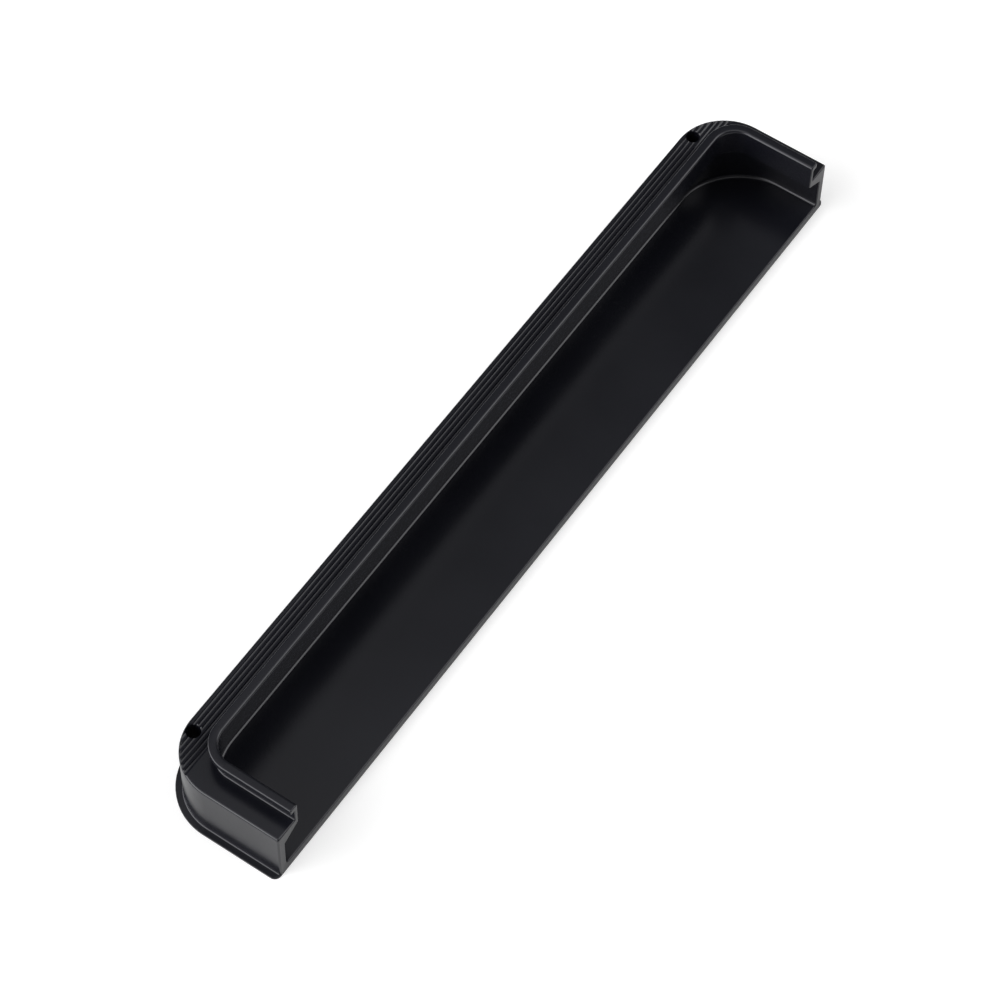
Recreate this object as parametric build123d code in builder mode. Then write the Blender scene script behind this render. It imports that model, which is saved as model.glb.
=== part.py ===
# Recessed pull handle: one piece of black finished aluminium, let into a rounded notch in the
# edge of a door or a drawer front. Three walls stand round a floor that is open on one long side,
# so that fingers reach in past the floor's open edge. On top of the walls a ledge leans inwards
# over the pocket, and a thin hooked lip runs round the ledge's inner edge: fingers pull behind it.
#
# Millimetres, +Z up. X runs along the handle, and +Y points to the closed back wall. The origin is
# on the underside, in the middle of the cover plate.

import os

from build123d import *

# Body
body_length = 200.0         # over the two end walls
body_depth = 30.0           # from the open face to the outside of the back wall
corner_radius = 12.0        # back corners in plan, for a notch cut with a 24 mm router bit
ledge_height = 14.8         # underside to the ledge on top of the walls
overall_height = 20.0       # underside to the top of the lip

# Cover plate: its thin rim covers the edge of the notch and ends flush with the open face
rim_width = 1.5
rim_thickness = 0.4
rim_fillet = 0.3            # inside corner between the rim and the walls

# Pocket
floor_thickness = 2.4
end_wall = 2.0
back_wall = 4.7             # thick enough to hold the screw holes
pocket_radius = 16.0        # inside back corners at the floor
floor_fillet = 0.8          # where the walls meet the floor

# Ledge: its underside slopes, so that it is thick at the wall and thin at the lip
end_overhang = 4.5          # from an end wall's inside face to the lip's inside face
back_overhang = 4.0         # the same at the back wall
ledge_root = 4.0            # thickness at the wall
ledge_tip = 1.6             # thickness at the lip
ledge_edge_radius = 0.5     # outer top edge
tip_radius = 0.5            # lower edge of the lip's inside face

# Lip: an upright web with a hook turned outwards at its top
web_thickness = 0.9
web_fillet = 0.3            # where the web stands on the ledge
hook_reach = 1.2
hook_thickness = 1.5
mouth_radius = 5.0          # inside back corners of the lip
lip_inner_radius = 0.7      # top edge that fingers pull over
lip_outer_radius = 0.3

# Edges of the pocket that fingers meet at the open face
finger_edge_radius = 0.3

# Grooves along the back of the ledge
groove_pitch = 1.0
groove_width = 0.8
groove_depth = 0.25
groove_margin = 1.0         # first groove's middle to the back, and last one's to the lip, or more

# Screw holes, straight down through the back wall
hole_diameter = 3.1
hole_end_distance = 10.0    # outside of the end wall to the hole's middle
hole_back_distance = 2.1    # outside of the back wall to the hole's middle
hole_lead_in = 0.2          # countersink at the ledge

# Cutters run this far past the faces that they open
clear = 2.0

open_face = -(body_depth + rim_width) / 2
back_face = open_face + body_depth
mouth_end = end_wall + end_overhang
mouth_back = back_wall + back_overhang
web_end = mouth_end - web_thickness
web_back = mouth_back - web_thickness
hook_end = web_end - hook_reach
hook_back = web_back - hook_reach
web_radius = mouth_radius + web_thickness
hook_radius = web_radius + hook_reach
hook_height = overall_height - hook_thickness
root_height = ledge_height - ledge_root
tip_height = ledge_height - ledge_tip
tiny = 0.01


def notch(height, end_inset, back_inset, radius, front):
    """Plan at a height, inset from the walls' outside: square in front, rounded at the back."""
    length = body_length - 2 * end_inset
    back = back_face - back_inset
    with BuildSketch(Plane.XY.offset(height)) as plan:
        with Locations((0, (front + back) / 2)):
            Rectangle(length, back - front)
        fillet(plan.vertices().group_by(Axis.Y)[-1], radius)
    return plan.sketch


def level_edges(part, height):
    """The edges that lie at one height, without those in the open face."""
    edges = part.edges().filter_by_position(Axis.Z, height - tiny, height + tiny)
    return edges.filter_by(lambda edge: edge.center().Y > open_face + tiny)


def edges_on(part, plan):
    """The level edges that lie on a plan."""
    level = level_edges(part, plan.bounding_box().min.Z)
    return level.filter_by(lambda edge: edge.distance_to(plan) < tiny)


def borders_pocket(edge):
    """True for an edge of the open face that runs round the pocket's cut-out."""
    middle = edge.center()
    in_mouth = abs(middle.X) < body_length / 2 - mouth_end + tiny
    in_pocket = abs(middle.X) < body_length / 2 - end_wall + tiny
    above_floor = middle.Z > floor_thickness - tiny
    return above_floor and (in_mouth or (in_pocket and middle.Z < tip_height + tip_radius))


with BuildPart() as pull_handle:
    # Walls and ledge, solid for now, with the ledge's outer edge rounded
    extrude(notch(0, 0, 0, corner_radius, open_face), amount=ledge_height)
    fillet(level_edges(pull_handle, ledge_height), ledge_edge_radius)

    # Cover plate: its rim goes past the walls, with a fillet in the corner between them
    with BuildSketch() as cover:
        with Locations((0, open_face + (body_depth + rim_width) / 2)):
            Rectangle(body_length + 2 * rim_width, body_depth + rim_width)
        fillet(cover.vertices().group_by(Axis.Y)[-1], corner_radius + rim_width)
        fillet(cover.vertices().group_by(Axis.Y)[0], rim_width)
    extrude(amount=rim_thickness)
    fillet(pull_handle.edges(Select.NEW), rim_fillet)

    # Lip, solid for now: the web with a fillet at its foot, then the hook at its top
    web = notch(ledge_height, web_end, web_back, web_radius, open_face)
    extrude(web, amount=overall_height - ledge_height)
    fillet(edges_on(pull_handle, web), web_fillet)
    hook = notch(hook_height, hook_end, hook_back, hook_radius, open_face)
    extrude(hook, amount=hook_thickness)

    # Pocket: upright walls, then the ledge's sloping underside, then the mouth inside the lip
    front = open_face - clear
    pocket = notch(floor_thickness, end_wall, back_wall, pocket_radius, front)
    extrude(pocket, amount=root_height - floor_thickness, mode=Mode.SUBTRACT)
    root = notch(root_height, end_wall, back_wall, pocket_radius, front)
    tip = notch(tip_height, mouth_end, mouth_back, mouth_radius, front)
    loft([root, tip], ruled=True, mode=Mode.SUBTRACT)
    extrude(tip, amount=overall_height - tip_height + clear, mode=Mode.SUBTRACT)
    fillet(level_edges(pull_handle, tip_height), tip_radius)
    fillet(level_edges(pull_handle, floor_thickness), floor_fillet)

    # Edges that fingers meet: round the mouth's top, and round the pocket at the open face
    mouth = notch(overall_height, mouth_end, mouth_back, mouth_radius, front)
    fillet(edges_on(pull_handle, mouth), lip_inner_radius)
    face_edges = pull_handle.edges().filter_by_position(Axis.Y, open_face - tiny, open_face + tiny)
    fillet(face_edges.filter_by(borders_pocket), finger_edge_radius)

    # Outer top edge of the lip, as far from the mouth as the lip is wide
    lip_top = level_edges(pull_handle, overall_height)
    lip_width = web_thickness + hook_reach
    fillet(lip_top.filter_by(lambda edge: edge.distance_to(mouth) > lip_width - tiny), lip_outer_radius)

    # Grooves: round-bottomed, straight along the back and out through both rounded corners
    groove_room = web_back - 2 * groove_margin
    groove_count = int(groove_room / groove_pitch) + 1
    row_middle = back_face - groove_margin - (groove_count - 1) * groove_pitch / 2
    groove_radius = (groove_width**2 / 4 + groove_depth**2) / (2 * groove_depth)
    with BuildSketch(Plane.YZ):
        with Locations((row_middle, ledge_height + groove_radius - groove_depth)):
            with GridLocations(groove_pitch, 0, groove_count, 1):
                Circle(groove_radius)
    extrude(amount=body_length, both=True, mode=Mode.SUBTRACT)

    # Screw holes, with a small lead-in at the ledge
    hole_x = body_length / 2 - hole_end_distance
    hole_y = back_face - hole_back_distance
    with Locations((-hole_x, hole_y, ledge_height), (hole_x, hole_y, ledge_height)):
        CounterSinkHole(hole_diameter / 2, hole_diameter / 2 + hole_lead_in)

pull_handle.part.label = "pull_handle"
os.makedirs("parts", exist_ok=True)
export_step(pull_handle.part, "parts/pull_handle.step")
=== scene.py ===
import bmesh
import bpy
import numpy as np
from mathutils import Euler, Matrix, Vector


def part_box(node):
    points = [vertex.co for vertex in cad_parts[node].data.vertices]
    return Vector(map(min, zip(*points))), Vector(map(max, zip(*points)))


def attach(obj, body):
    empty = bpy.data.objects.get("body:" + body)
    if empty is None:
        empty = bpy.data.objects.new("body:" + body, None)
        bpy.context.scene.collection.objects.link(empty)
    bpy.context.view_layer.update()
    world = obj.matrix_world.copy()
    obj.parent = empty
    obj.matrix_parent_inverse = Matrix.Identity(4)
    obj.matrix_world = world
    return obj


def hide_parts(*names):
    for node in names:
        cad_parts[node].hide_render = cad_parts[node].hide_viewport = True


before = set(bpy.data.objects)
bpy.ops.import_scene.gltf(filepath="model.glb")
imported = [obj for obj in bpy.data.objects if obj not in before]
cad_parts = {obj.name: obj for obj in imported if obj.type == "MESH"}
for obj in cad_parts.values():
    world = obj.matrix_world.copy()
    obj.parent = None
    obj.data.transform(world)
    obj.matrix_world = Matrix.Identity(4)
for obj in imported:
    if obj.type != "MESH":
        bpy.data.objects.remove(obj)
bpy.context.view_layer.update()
nodeLow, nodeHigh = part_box("pull_handle")

# The handle: lengths in millimetres, heights from its underside, angles in radians
handle = {
    "cornerRadius": 12.0,        # back corners, seen from above
    "ledgeHeight": 14.8,
    "ledgeEdgeRadius": 0.5,
    "rimWidth": 1.5,
    "rimThickness": 0.4,
    "rimFillet": 0.3,
    "rimEdgeRadius": 0.08,       # just enough to catch the light
    "floorThickness": 2.4,
    "endWall": 2.0,
    "backWall": 4.7,
    "pocketRadius": 16.0,
    "floorFillet": 0.8,
    "endOverhang": 4.5,          # how far the ledge leans in over the pocket at the ends
    "backOverhang": 4.0,         # the same at the back
    "ledgeRoot": 4.0,            # the ledge's thickness at the wall
    "ledgeTip": 1.6,             # and under the lip
    "rootRadius": 0.15,
    "tipRadius": 0.5,
    "webThickness": 0.9,         # upright part of the lip
    "webFillet": 0.3,
    "hookReach": 1.2,
    "hookThickness": 1.5,
    "hookCornerRadius": 0.1,     # between the web and the hook
    "hookEdgeRadius": 0.3,       # lower edge of the hook
    "mouthRadius": 5.0,
    "lipInnerRadius": 0.6,
    "lipOuterRadius": 0.3,
    "outerFrontRadius": 0.45,    # upright front edges outside
    "fingerRadius": 0.28,        # front edges round the pocket
    "groovePitch": 1.0,
    "grooveWidth": 0.96,
    "grooveDepth": 0.27,
    "grooveMargin": 1.4,         # from the back to the first groove's middle
    "grooveCount": 6,
    "holeRadius": 1.55,
    "holeEndDistance": 10.0,
    "holeBackDistance": 2.1,
    "holeLeadIn": 0.2,
    "cutterExtra": 1.0,          # how far a hole's cutter runs past the faces it opens
    "arcStep": 0.2,              # largest turn of one step round an edge of the profile
    "frontSteps": 7,             # round a front edge
    "straightSteps": 6,          # along an end wall
    "backSteps": 28,             # along the back
    "cornerSteps": 40,           # round an inside corner
    "lowSteps": 15,              # round an outside corner, before its grooves
    "highSteps": 7,              # and after them
    "grooveSteps": 12,           # across one groove
    "armSteps": 4,               # across the ledge at the open face
    "holeSteps": 64,
    "sharpAngle": 0.6,           # edges that turn further than this stay sharp
}

millimetre = 0.001
tiny = 0.001                     # millimetres: less than any step of the profile
weldDistance = 0.0000002         # metres
noArea = 1e-14                   # square metres

# What the frame's box gives, in millimetres too, and the circle that a groove's section is part of
openFace = nodeLow.y / millimetre
bodyLength = (nodeHigh.x - nodeLow.x) / millimetre - 2 * handle["rimWidth"]
overallHeight = nodeHigh.z / millimetre
backFace = nodeHigh.y / millimetre - handle["rimWidth"]
grooveRadius = handle["grooveWidth"] ** 2 / (8 * handle["grooveDepth"]) + handle["grooveDepth"] / 2


def roundedProfile(corners):
    # Corners are (end inset, back inset, height, radius). A corner of radius r becomes an arc that
    # touches both sides at r * tan(turn / 2) from the corner. Its middle is on the bisector at
    # r / cos(turn / 2), and its points are middle + r * (cos a, sin a) in the plane of end inset
    # and height. The back inset keeps its own distance from the end inset, carried along evenly.
    points = []
    for i, (end, back, height, radius) in enumerate(corners):
        if radius == 0:
            points.append([end, back, height])
            continue
        here = np.array([end, height])
        before = np.array([corners[i - 1][0], corners[i - 1][2]]) - here
        after = np.array([corners[i + 1][0], corners[i + 1][2]]) - here
        lengths = np.linalg.norm(before), np.linalg.norm(after)
        before, after = before / lengths[0], after / lengths[1]
        turn = np.pi - np.arccos(np.clip(before @ after, -1, 1))
        reach = radius * np.tan(turn / 2)
        bisector = (before + after) / np.linalg.norm(before + after)
        middle = here + bisector * radius / np.cos(turn / 2)
        start = here + before * reach - middle
        steps = int(np.ceil(turn / handle["arcStep"]))
        side = np.sign(start[1] * before[0] - start[0] * before[1])
        turns = side * np.linspace(0, turn, steps + 1)
        arc = np.stack([start[0] * np.cos(turns) - start[1] * np.sin(turns),
                        start[0] * np.sin(turns) + start[1] * np.cos(turns)], axis=1) + middle
        # the back inset follows whichever side the arc point belongs to
        gapBefore, gapHere, gapAfter = [c[1] - c[0] for c in corners[i - 1:i + 2]]
        share = np.linspace(-1, 1, steps + 1)
        stepBack = np.clip(-share, 0, 1) * reach / lengths[0] * (gapBefore - gapHere)
        stepOn = np.clip(share, 0, 1) * reach / lengths[1] * (gapAfter - gapHere)
        backs = arc[:, 0] + gapHere + stepBack + stepOn
        points.extend(np.column_stack([arc[:, 0], backs, arc[:, 1]]).tolist())
    points = np.array(points)
    apart = np.linalg.norm(np.diff(points, axis=0), axis=1) > tiny
    return points[np.concatenate([[True], apart])]


def inwardMitre(rows):
    # How far a row moves into the metal for each millimetre that the front edge is rounded:
    # the two neighbouring segments' unit normals, (n1 + n2) / (1 + n1 . n2), turned inwards.
    plane = rows[:, [0, 2]]
    along = np.diff(plane, axis=0)
    along = along / np.linalg.norm(along, axis=1, keepdims=True)
    normals = np.stack([along[:, 1], -along[:, 0]], axis=1)
    first = np.vstack([normals[:1], normals])
    second = np.vstack([normals, normals[-1:]])
    return (first + second) / (1 + (first * second).sum(axis=1, keepdims=True))


def grooveDrop(y):
    # Depth below the ledge: round-bottomed grooves, a circle of radius r whose middle is r - depth
    # above the ledge, so the drop is sqrt(r^2 - dy^2) - (r - depth) where that is above nought.
    h = handle
    steps = (backFace - h["grooveMargin"] - y) / h["groovePitch"]
    nearest = np.clip(np.round(steps), 0, h["grooveCount"] - 1)
    dy = (steps - nearest) * h["groovePitch"]
    inside = np.clip(grooveRadius ** 2 - dy ** 2, 0, None)
    return np.clip(np.sqrt(inside) - (grooveRadius - h["grooveDepth"]), 0, None)


def grooveColumns():
    # y of every step across the grooves, and the angles of the outside corner's columns. These
    # pass through the same steps: sin a = (y - the corner's middle) / the outline's radius.
    h = handle
    lean = np.arcsin(h["grooveWidth"] / 2 / grooveRadius)
    across = grooveRadius * np.sin(np.linspace(-lean, lean, h["grooveSteps"] + 1))
    middles = backFace - h["grooveMargin"] - h["groovePitch"] * np.arange(h["grooveCount"])
    grooveYs = np.sort((middles[:, None] + across[None, :]).ravel())
    outlineRadius = h["cornerRadius"] - h["ledgeEdgeRadius"]
    outlineMiddle = backFace - h["cornerRadius"]
    angles = np.arcsin((grooveYs - outlineMiddle) / outlineRadius)
    below = np.linspace(0, angles[0], h["lowSteps"] + 1)[:-1]
    above = np.linspace(angles[-1], np.pi / 2, h["highSteps"] + 1)[1:]
    return grooveYs, np.concatenate([below, angles, above])


def outsideRows():
    # The profile from the underside over the rim to the ledge. Each row has its corner radius,
    # its front rounding and its mitre. The rim's front corners are as round as it is wide.
    h = handle
    rim, edge, ledge = h["rimWidth"], h["ledgeEdgeRadius"], h["ledgeHeight"]
    rows = roundedProfile([
        (-rim, -rim, 0.0, 0),
        (-rim, -rim, h["rimThickness"], h["rimEdgeRadius"]),
        (0.0, 0.0, h["rimThickness"], h["rimFillet"]),
        (0.0, 0.0, ledge, edge),
        (edge, edge, ledge, 0),
    ])
    radii = h["cornerRadius"] - rows[:, 0]
    onRim = np.clip(-rows[:, 0] / rim, 0, 1)
    fronts = h["outerFrontRadius"] * (1 - onRim) + rim * onRim
    mitres = inwardMitre(rows)
    mitres[rows[:, 2] < h["rimThickness"] + h["rimFillet"] + tiny] = [1.0, 0.0]
    mitres[-1] = [0.0, -1.0]
    return rows, radii, fronts, mitres


def insideRows():
    # The profile from the foot of the web over the lip and down to the floor, in the same form
    h = handle
    mouthEnd = h["endWall"] + h["endOverhang"]
    mouthBack = h["backWall"] + h["backOverhang"]
    webEnd, webBack = mouthEnd - h["webThickness"], mouthBack - h["webThickness"]
    hookEnd, hookBack = webEnd - h["hookReach"], webBack - h["hookReach"]
    hookHeight = overallHeight - h["hookThickness"]
    ledge, floor = h["ledgeHeight"], h["floorThickness"]
    foot, fillet = h["webFillet"], h["floorFillet"]
    rows = roundedProfile([
        (webEnd - foot, webBack - foot, ledge, 0),
        (webEnd, webBack, ledge, foot),
        (webEnd, webBack, hookHeight, h["hookCornerRadius"]),
        (hookEnd, hookBack, hookHeight, h["hookEdgeRadius"]),
        (hookEnd, hookBack, overallHeight, h["lipOuterRadius"]),
        (mouthEnd, mouthBack, overallHeight, h["lipInnerRadius"]),
        (mouthEnd, mouthBack, ledge - h["ledgeTip"], h["tipRadius"]),
        (h["endWall"], h["backWall"], ledge - h["ledgeRoot"], h["rootRadius"]),
        (h["endWall"], h["backWall"], floor, fillet),
        (h["endWall"] + fillet, h["backWall"] + fillet, floor, 0),
    ])
    # corner radius: the mouth's over the lip, wider down the ledge's underside, and narrower
    # again round the floor's fillet
    overLip = h["mouthRadius"] + mouthEnd - rows[:, 0]
    slope = np.clip((mouthEnd - rows[:, 0]) / h["endOverhang"], 0, 1)
    underLedge = h["mouthRadius"] + slope * (h["pocketRadius"] - h["mouthRadius"])
    nearFloor = h["pocketRadius"] + h["endWall"] - rows[:, 0]
    toMouth = np.arange(len(rows)) <= np.argmax(rows[:, 0] >= mouthEnd - tiny)
    inFillet = rows[:, 2] < floor + fillet + tiny
    radii = np.select([toMouth, inFillet], [overLip, nearFloor], underLedge)
    fronts = np.full(len(rows), h["fingerRadius"])
    mitres = inwardMitre(rows)
    mitres[0] = mitres[-1] = [0.0, -1.0]
    return rows, radii, fronts, mitres


def carryRoundNotch(rows, radii, fronts, mitres, cornerAngles):
    # The profile's rows carried from the open face round the notch and back: along an end wall,
    # round a corner (x = cx - r cos a, y = cy + r sin a), along the back, and mirrored. At the
    # open face a row moves in by f (1 - cos t) while y goes from the face + f to the face.
    h = handle
    ends, backs, heights = rows.T[:, :, None]
    radii, fronts = radii[:, None], fronts[:, None]
    half = bodyLength / 2
    cornerX = -(half - ends - radii)
    cornerY = backFace - backs - radii
    t = np.linspace(np.pi / 2, 0, h["frontSteps"] + 1)[None, :]
    moveIn = fronts * (1 - np.cos(t))
    frontX = -(half - ends) + moveIn * mitres[:, :1]
    frontY = openFace + fronts * (1 - np.sin(t))
    frontZ = heights + moveIn * mitres[:, 1:]
    u = np.linspace(0, 1, h["straightSteps"] + 1)[None, 1:-1]
    wallY = frontY[:, -1:] * (1 - u) + cornerY * u
    wallX = np.broadcast_to(-(half - ends), wallY.shape)
    wallZ = np.broadcast_to(heights, wallY.shape)
    a = cornerAngles[None, :]
    turnX = cornerX - radii * np.cos(a)
    turnY = cornerY + radii * np.sin(a)
    turnZ = np.broadcast_to(heights, turnX.shape)
    v = np.linspace(-1, 1, h["backSteps"] + 1)[None, 1:-1]
    backX = -cornerX * v
    backY = np.broadcast_to(backFace - backs, backX.shape)
    backZ = np.broadcast_to(heights, backX.shape)
    leftX = np.hstack([frontX, wallX, turnX])
    leftY = np.hstack([frontY, wallY, turnY])
    leftZ = np.hstack([frontZ, wallZ, turnZ])
    x = np.hstack([leftX, backX, -leftX[:, ::-1]])
    y = np.hstack([leftY, backY, leftY[:, ::-1]])
    z = np.hstack([leftZ, backZ, leftZ[:, ::-1]])
    return np.stack([x, y, z], axis=2)


def gridFaces(rowCount, columnCount, first=0):
    # Quads of a grid whose point (i, j) has the index first + i * columns + j
    i = np.arange(rowCount - 1)[:, None] * columnCount + first
    j = np.arange(columnCount - 1)[None, :]
    a = (i + j).ravel()
    return np.stack([a, a + columnCount, a + columnCount + 1, a + 1], axis=1)


def bridge(firstLine, secondLine, steps):
    # Straight lines from one line of points to the other: p = a (1 - u) + b u
    u = np.linspace(0, 1, steps + 1)[:, None, None]
    return firstLine[None] * (1 - u) + secondLine[None] * u


def weldMesh(mesh):
    # merge the seams, drop what has shrunk to nothing, and turn every face outwards
    work = bmesh.new()
    work.from_mesh(mesh)
    bmesh.ops.remove_doubles(work, verts=work.verts, dist=weldDistance)
    flatBits = [f for f in work.faces if f.calc_area() < noArea]
    bmesh.ops.delete(work, geom=flatBits, context="FACES_ONLY")
    bmesh.ops.recalc_face_normals(work, faces=work.faces)
    openEdges = sum(1 for e in work.edges if len(e.link_faces) != 2)
    print("handle welded:", len(work.verts), "points,", len(work.faces), "faces,", openEdges, "open edges")
    work.to_mesh(mesh)
    work.free()


def buildHandleMesh():
    # Grids for the two swept profiles, the grooved band and the rounded front edges, joined by
    # seven flat faces
    h = handle
    ledge = h["ledgeHeight"]
    grooveYs, outerAngles = grooveColumns()
    innerAngles = np.linspace(0, np.pi / 2, h["cornerSteps"] + 1)
    outer = carryRoundNotch(*outsideRows(), outerAngles)
    inner = carryRoundNotch(*insideRows(), innerAngles)

    # the ledge's rounded outer edge drops where a groove runs out through it
    heights = outer[:, :, 2]
    lowered = np.minimum(heights, ledge - grooveDrop(outer[:, :, 1]))
    outer[:, :, 2] = np.where(heights > ledge - h["ledgeEdgeRadius"], lowered, heights)

    # grooved band of the ledge: rows at constant y, each from outline to outline
    outline = outer[-1]
    frontCount = h["frontSteps"] + 1
    bandStart = h["frontSteps"] + h["straightSteps"] + h["lowSteps"]
    bandEnd = bandStart + len(grooveYs)
    v = np.linspace(-1, 1, h["backSteps"] + 1)[None, :]
    bandX = -outline[bandStart:bandEnd, :1] * v
    bandY = np.broadcast_to(grooveYs[:, None], bandX.shape)
    band = np.stack([bandX, bandY, ledge - grooveDrop(bandY)], axis=2)

    # strips that round the front edges of the floor and of the ledge's two arms
    left = slice(0, frontCount)
    right = slice(-frontCount, None)
    floorStrip = bridge(inner[-1, left], inner[-1, right][::-1], h["backSteps"])
    armLeft = bridge(outer[-1, left], inner[0, left], h["armSteps"])
    armRight = bridge(inner[0, right], outer[-1, right], h["armSteps"])

    points, quads, count = [], [], 0
    for grid in (outer, inner, band, floorStrip, armLeft, armRight):
        points.append(grid.reshape(-1, 3))
        quads.append(gridFaces(grid.shape[0], grid.shape[1], count))
        count += grid.shape[0] * grid.shape[1]

    # flat faces, each one polygon with its corners in order
    pastFront = slice(frontCount - 1, inner.shape[1] - frontCount + 1)
    mirrorEnd = len(outline)
    lowLine = np.vstack([outline[frontCount - 1:bandStart], band[0],
                         outline[mirrorEnd - bandStart:mirrorEnd - frontCount + 1]])
    ledgeFace = np.vstack([lowLine, armRight[::-1][1:-1, 0],
                           inner[0, pastFront][::-1], armLeft[::-1][1:-1, -1]])
    backStrip = np.vstack([outline[bandEnd - 1:mirrorEnd - bandEnd + 1], band[-1][::-1]])
    floorFace = np.vstack([inner[-1, pastFront], floorStrip[::-1][1:-1, -1]])
    u = np.linspace(1, -1, h["backSteps"] + 1)[1:-1, None]
    underFront = np.hstack([outer[0, -1:, :1] * u, np.full_like(u, openFace), np.zeros_like(u)])
    underFace = np.vstack([outer[0], underFront])
    capLeft = np.vstack([outer[:, 0], armLeft[1:-1, 0], inner[:, 0]])
    capRight = np.vstack([inner[::-1, -1], armRight[1:-1, -1], outer[::-1, -1]])
    capFloor = np.vstack([floorStrip[:, 0], outer[:1, -1], underFront, outer[:1, 0]])
    polygons = []
    for line in (ledgeFace, backStrip, floorFace, underFace, capLeft, capRight, capFloor):
        points.append(line)
        polygons.append(np.arange(count, count + len(line)).tolist())
        count += len(line)
    vertices = np.vstack(points) * millimetre
    mesh = bpy.data.meshes.new("pullHandle")
    mesh.from_pydata(vertices.tolist(), [], np.vstack(quads).tolist() + polygons)
    weldMesh(mesh)
    return mesh


def buildHoleCutter(side):
    # A turned shape: the profile (radius, height) spun about the hole's axis
    h = handle
    r, lead, top, extra = h["holeRadius"], h["holeLeadIn"], h["ledgeHeight"], h["cutterExtra"]
    profile = np.array([(r, -extra), (r, top - lead), (r + lead, top), (r + lead + extra, top + extra)])
    spin = np.linspace(0, 2 * np.pi, h["holeSteps"], endpoint=False)
    centreX = side * (bodyLength / 2 - h["holeEndDistance"])
    centreY = backFace - h["holeBackDistance"]
    x = centreX + profile[:, :1] * np.cos(spin)
    y = centreY + profile[:, :1] * np.sin(spin)
    z = np.broadcast_to(profile[:, 1:], x.shape)
    points = np.stack([x, y, z], axis=2).reshape(-1, 3) * millimetre
    rows, columns = x.shape
    i = np.arange(rows - 1)[:, None] * columns
    j = np.arange(columns)[None, :]
    k = (j + 1) % columns
    quads = np.stack([i + j, i + k, i + k + columns, i + j + columns], axis=2).reshape(-1, 4)
    caps = [np.arange(columns)[::-1].tolist(), np.arange((rows - 1) * columns, rows * columns).tolist()]
    mesh = bpy.data.meshes.new("holeCutter")
    mesh.from_pydata(points.tolist(), [], quads.tolist() + caps)
    cutter = bpy.data.objects.new("holeCutter", mesh)
    bpy.context.scene.collection.objects.link(cutter)
    return cutter


def cutHoles(piece):
    for side in (-1, 1):
        cutter = buildHoleCutter(side)
        cut = piece.modifiers.new("screwHole", "BOOLEAN")
        cut.operation = "DIFFERENCE"
        cut.solver = "EXACT"
        cut.object = cutter
        bpy.context.view_layer.update()
        evaluated = piece.evaluated_get(bpy.context.evaluated_depsgraph_get())
        result = bpy.data.meshes.new_from_object(evaluated)
        piece.modifiers.remove(cut)
        old = piece.data
        piece.data = result
        result.name = "pullHandleMesh"
        bpy.data.meshes.remove(old)
        bpy.data.objects.remove(cutter)


def softenShading(piece):
    # smooth faces, sharp edges above the angle, and normals that follow the larger faces
    mesh = piece.data
    mesh.polygons.foreach_set("use_smooth", np.ones(len(mesh.polygons), dtype=bool))
    mesh.set_sharp_from_angle(angle=handle["sharpAngle"])
    weights = piece.modifiers.new("faceWeights", "WEIGHTED_NORMAL")
    weights.keep_sharp = True
    mesh.update()


pullHandle = bpy.data.objects.new("handle_body", buildHandleMesh())
bpy.context.scene.collection.objects.link(pullHandle)
cutHoles(pullHandle)
softenShading(pullHandle)
print("handle built:", len(pullHandle.data.polygons), "faces")


# Finish: black satin with a very fine grain. Each noise is (scale per metre, detail, roughness),
# a span is the part of the cloud's range over which a value changes, and heights are in metres.
finish = {
    "colour": (0.0052, 0.0056, 0.0084, 1.0),
    "paleColour": (0.0064, 0.0068, 0.0100, 1.0),
    "colourSpan": (0.35, 0.65),
    "glossTint": (0.96, 0.96, 1.0, 1.0),
    "roughLow": 0.20,
    "roughHigh": 0.26,
    "roughSpan": (0.3, 0.7),
    "cloudNoise": (35.0, 4.0, 0.55),
    "grainNoise": (2600.0, 3.0, 0.6),
    "grainHeight": 0.0000012,
    "grainStrength": 1.0,
    "waveNoise": (90.0, 2.0, 0.5),
    "waveHeight": 0.000008,
    "waveStrength": 0.3,
}


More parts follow.
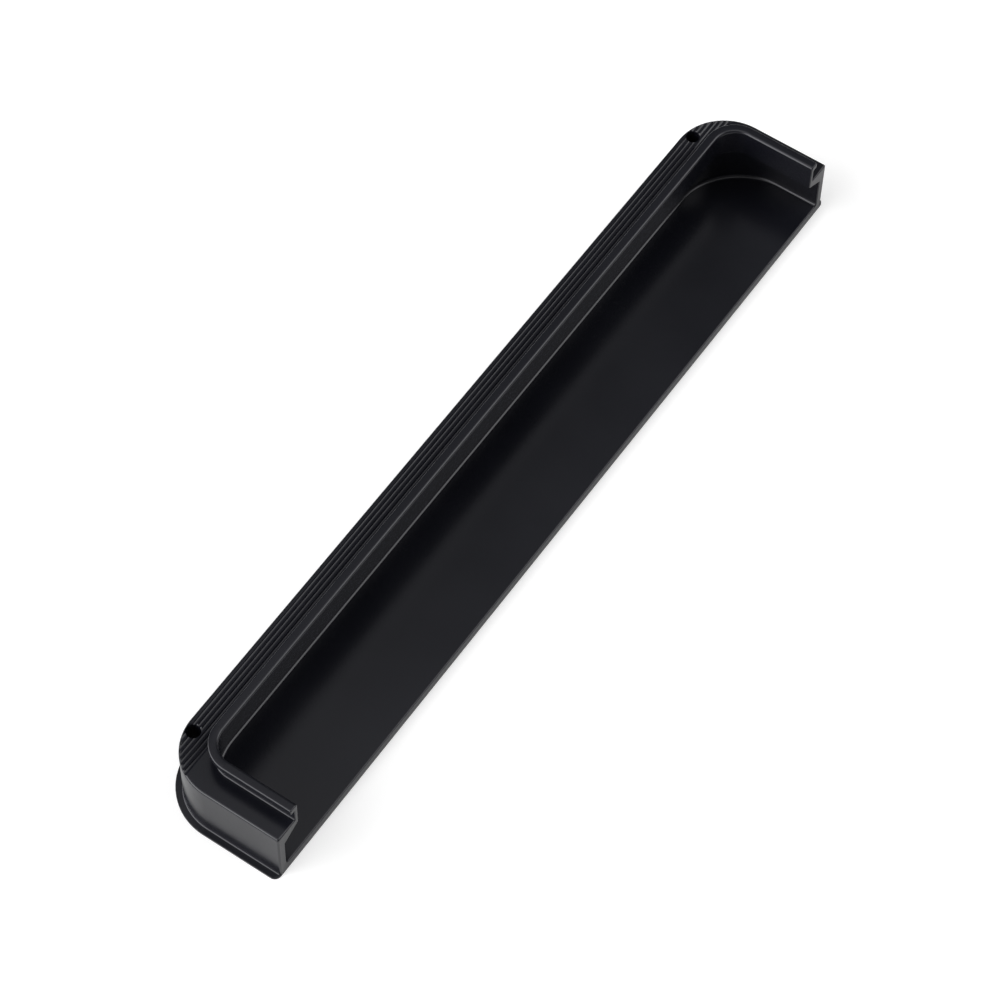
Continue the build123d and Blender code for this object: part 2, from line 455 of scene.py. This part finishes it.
def blackFinish():
    material = bpy.data.materials.new("blackSatin")
    material.use_nodes = True
    tree = material.node_tree
    shader = tree.nodes["Principled BSDF"]
    place = tree.nodes.new("ShaderNodeTexCoord").outputs["Object"]

    def noise(scale, detail, roughness):
        node = tree.nodes.new("ShaderNodeTexNoise")
        node.inputs["Scale"].default_value = scale
        node.inputs["Detail"].default_value = detail
        node.inputs["Roughness"].default_value = roughness
        tree.links.new(place, node.inputs["Vector"])
        return node.outputs["Fac"]

    def remap(source, span, low, high):
        node = tree.nodes.new("ShaderNodeMapRange")
        node.inputs["From Min"].default_value, node.inputs["From Max"].default_value = span
        node.inputs["To Min"].default_value = low
        node.inputs["To Max"].default_value = high
        tree.links.new(source, node.inputs["Value"])
        return node.outputs["Result"]

    def bump(height, distance, strength):
        node = tree.nodes.new("ShaderNodeBump")
        node.inputs["Distance"].default_value = distance
        node.inputs["Strength"].default_value = strength
        tree.links.new(height, node.inputs["Height"])
        return node

    # colour and gloss drift a little over a few centimetres
    cloud = noise(*finish["cloudNoise"])
    mix = tree.nodes.new("ShaderNodeMix")
    mix.data_type = "RGBA"
    mix.inputs["A"].default_value = finish["colour"]
    mix.inputs["B"].default_value = finish["paleColour"]
    tree.links.new(remap(cloud, finish["colourSpan"], 0.0, 1.0), mix.inputs["Factor"])
    tree.links.new(mix.outputs["Result"], shader.inputs["Base Color"])
    roughness = remap(cloud, finish["roughSpan"], finish["roughLow"], finish["roughHigh"])
    tree.links.new(roughness, shader.inputs["Roughness"])
    shader.inputs["Specular Tint"].default_value = finish["glossTint"]

    # the fine grain lies on slow waves
    waves = bump(noise(*finish["waveNoise"]), finish["waveHeight"], finish["waveStrength"])
    grain = bump(noise(*finish["grainNoise"]), finish["grainHeight"], finish["grainStrength"])
    tree.links.new(waves.outputs["Normal"], grain.inputs["Normal"])
    tree.links.new(grain.outputs["Normal"], shader.inputs["Normal"])
    return material


blackSatin = blackFinish()
pullHandle.data.materials.clear()
pullHandle.data.materials.append(blackSatin)
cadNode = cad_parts["pull_handle"]
cadNode.data.materials.clear()
cadNode.data.materials.append(blackSatin)
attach(pullHandle, "root")
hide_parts("pull_handle")
print("finish made")


# White ground, and a studio's soft lights as patches of the sky: a wide one low behind on the left,
# one in front on the right and one overhead. Each is (azimuth, height, strength, outer, inner) in
# degrees: full strength within the inner angle, and none beyond the outer one. Lengths in metres.
studio = {
    "groundColour": (0.68, 0.68, 0.68, 1.0),
    "groundRoughness": 0.9,
    "groundReach": 3.0,
    "groundGap": 0.00002,        # between the ground and the handle's underside
    "groundGlow": {
        "Is Camera Ray": 0.46,
        "Is Glossy Ray": 0.08,
        "Is Transmission Ray": 0.08,
    },
    "skyColour": (1.0, 1.0, 1.0, 1.0),
    "skyLevel": 0.12,
    "softLights": {
        "rearLeft": (140.0, 14.0, 4.4, 54.0, 15.0),
        "frontRight": (308.0, 40.0, 2.6, 31.0, 6.0),
        "overhead": (0.0, 90.0, 1.1, 35.0, 5.0),
    },
}


def calculate(tree, operation, first, second):
    # One Math node: each input is another node's output or a plain number
    node = tree.nodes.new("ShaderNodeMath")
    node.operation = operation
    for socket, value in zip(node.inputs, (first, second)):
        if isinstance(value, float):
            socket.default_value = value
        else:
            tree.links.new(value, socket)
    return node.outputs["Value"]


def buildGround():
    # One wide flat square under the handle. For the camera, and in what the handle mirrors, it
    # glows on top of its own shading: so it is white and still keeps the handle's shadow.
    reach = studio["groundReach"]
    corners = np.array([(-reach, -reach), (reach, -reach), (reach, reach), (-reach, reach)])
    points = np.column_stack([corners, np.full(4, nodeLow.z - studio["groundGap"])])
    mesh = bpy.data.meshes.new("ground")
    mesh.from_pydata(points.tolist(), [], [(0, 1, 2, 3)])
    material = bpy.data.materials.new("whiteGround")
    material.use_nodes = True
    tree = material.node_tree
    shader = tree.nodes["Principled BSDF"]
    shader.inputs["Base Color"].default_value = studio["groundColour"]
    shader.inputs["Roughness"].default_value = studio["groundRoughness"]
    shader.inputs["Specular IOR Level"].default_value = 0.0
    rays = tree.nodes.new("ShaderNodeLightPath")
    level = 0.0
    for kind, share in studio["groundGlow"].items():
        level = calculate(tree, "ADD", level, calculate(tree, "MULTIPLY", rays.outputs[kind], share))
    glow = tree.nodes.new("ShaderNodeEmission")
    tree.links.new(level, glow.inputs["Strength"])
    both = tree.nodes.new("ShaderNodeAddShader")
    tree.links.new(shader.outputs["BSDF"], both.inputs[0])
    tree.links.new(glow.outputs["Emission"], both.inputs[1])
    tree.links.new(both.outputs["Shader"], tree.nodes["Material Output"].inputs["Surface"])
    mesh.materials.append(material)
    ground = bpy.data.objects.new("ground", mesh)
    bpy.context.scene.collection.objects.link(ground)


def buildWorld():
    # A patch's share is a smoothstep of the cosine between its direction and the ray's
    world = bpy.data.worlds.new("studio")
    bpy.context.scene.world = world
    world.use_nodes = True
    tree = world.node_tree
    background = tree.nodes["Background"]
    background.inputs["Color"].default_value = studio["skyColour"]
    direction = tree.nodes.new("ShaderNodeTexCoord").outputs["Generated"]
    level = studio["skyLevel"]
    for name, (azimuth, height, strength, outer, inner) in studio["softLights"].items():
        azimuth, height, outer, inner = np.radians([azimuth, height, outer, inner])
        cosine = tree.nodes.new("ShaderNodeVectorMath")
        cosine.operation = "DOT_PRODUCT"
        cosine.label = name
        cosine.inputs[1].default_value = (np.cos(height) * np.cos(azimuth),
                                          np.cos(height) * np.sin(azimuth), np.sin(height))
        tree.links.new(direction, cosine.inputs[0])
        patch = tree.nodes.new("ShaderNodeMapRange")
        patch.interpolation_type = "SMOOTHSTEP"
        patch.inputs["From Min"].default_value = np.cos(outer)
        patch.inputs["From Max"].default_value = np.cos(inner)
        patch.inputs["To Max"].default_value = strength
        tree.links.new(cosine.outputs["Value"], patch.inputs["Value"])
        level = calculate(tree, "ADD", level, patch.outputs["Result"])
    tree.links.new(level, background.inputs["Strength"])


# Camera: its place in metres, how it is turned in degrees, and its lens and film in millimetres
view = {
    "place": (-0.33608, -0.21941, 0.61954),
    "azimuth": 33.2632,          # of the way it looks, from +X towards +Y
    "dip": 57.3203,              # below level
    "roll": 1.3998,              # about the way it looks
    "lens": 127.234,
    "sensorWidth": 36.0,
    "clipStart": 0.01,           # metres
}


def addCamera():
    camera = bpy.data.cameras.new("camera")
    holder = bpy.data.objects.new("camera", camera)
    bpy.context.scene.collection.objects.link(holder)
    azimuth, dip, roll = np.radians([view["azimuth"], view["dip"], view["roll"]])
    turn = Euler((np.pi / 2 - dip, 0.0, azimuth - np.pi / 2)).to_matrix()
    turn = turn @ Matrix.Rotation(roll, 3, "Z")
    holder.matrix_world = Matrix.Translation(view["place"]) @ turn.to_4x4()
    camera.sensor_width = view["sensorWidth"]
    camera.lens = view["lens"]
    camera.clip_start = view["clipStart"]
    bpy.context.scene.camera = holder


buildGround()
buildWorld()
addCamera()
bpy.context.scene.view_settings.view_transform = "Standard"
print("studio made")
